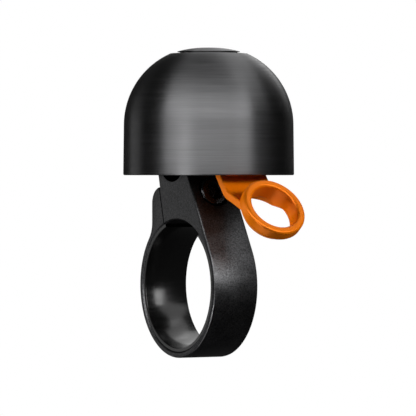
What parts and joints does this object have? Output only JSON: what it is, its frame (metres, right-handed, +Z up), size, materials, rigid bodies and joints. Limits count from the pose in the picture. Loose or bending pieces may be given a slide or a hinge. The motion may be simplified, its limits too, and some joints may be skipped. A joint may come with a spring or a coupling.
{
  "type": "bicycle_bell",
  "caption": "Compact bicycle bell: a black dome on a split band clamp for a 22.2 mm handlebar, rung by an orange thumb lever with a finger loop and a sprung hammer inside the dome.",
  "frame": {"origin": "centre of the clamped handlebar, midway along the clamp", "axes": "+X along the handlebar, -Y toward the lever, +Z up through the dome"},
  "size_m": [0.0303, 0.0416, 0.055],
  "materials": {
    "black_anodised": "bead blasted and black anodised",
    "dome_black": "turned, black anodised, satin",
    "black_steel": "black oxide",
    "plain_steel": "stainless, brushed",
    "orange_plastic": "moulded, glossy orange",
    "liner_rubber": "matt black elastomer",
    "black_plastic": "matt black nylon",
    "white_plastic": "natural acetal",
    "brass": "turned brass"
  },
  "bodies": {
    "clamp": {"clamp_body": "black_anodised", "bar_liner": "liner_rubber", "clamp_screw": "black_steel", "clamp_washer": "plain_steel", "bell_dome": "dome_black", "dome_cap_screw": "black_anodised", "dome_upper_washer": "black_plastic", "dome_lower_bush": "white_plastic", "dome_post": "plain_steel", "pivot_bracket": "plain_steel", "pivot_pin": "plain_steel", "pin_clips": "black_steel", "return_spring": "plain_steel", "stop_sleeve": "liner_rubber"},
    "lever": {"trigger_lever": "orange_plastic", "pivot_bushes": "white_plastic", "leaf_clamp_bar": "plain_steel", "leaf_rivets": "brass"},
    "hammer": {"hammer_leaf": "plain_steel", "hammer_head": "brass", "hammer_rivet": "brass"}
  },
  "joints": [
    {"name": "lever_pull", "type": "hinge", "parent": "clamp", "child": "lever", "pos_m": [0, -0.00915, 0.03043], "axis": [1, 0, 0], "range_deg": [0, 20], "stiffness_Nm_per_rad": 0.02, "springref_deg": -22.92, "deforming": ["return_spring"]},
    {"name": "hammer_flex", "type": "hinge", "parent": "lever", "child": "hammer", "pos_m": [0, -0.01342, 0.02803], "axis": [-1, 0, 0], "range_deg": [-2, 9.5], "stiffness_Nm_per_rad": 0.001, "deforming": ["hammer_leaf"]}
  ]
}
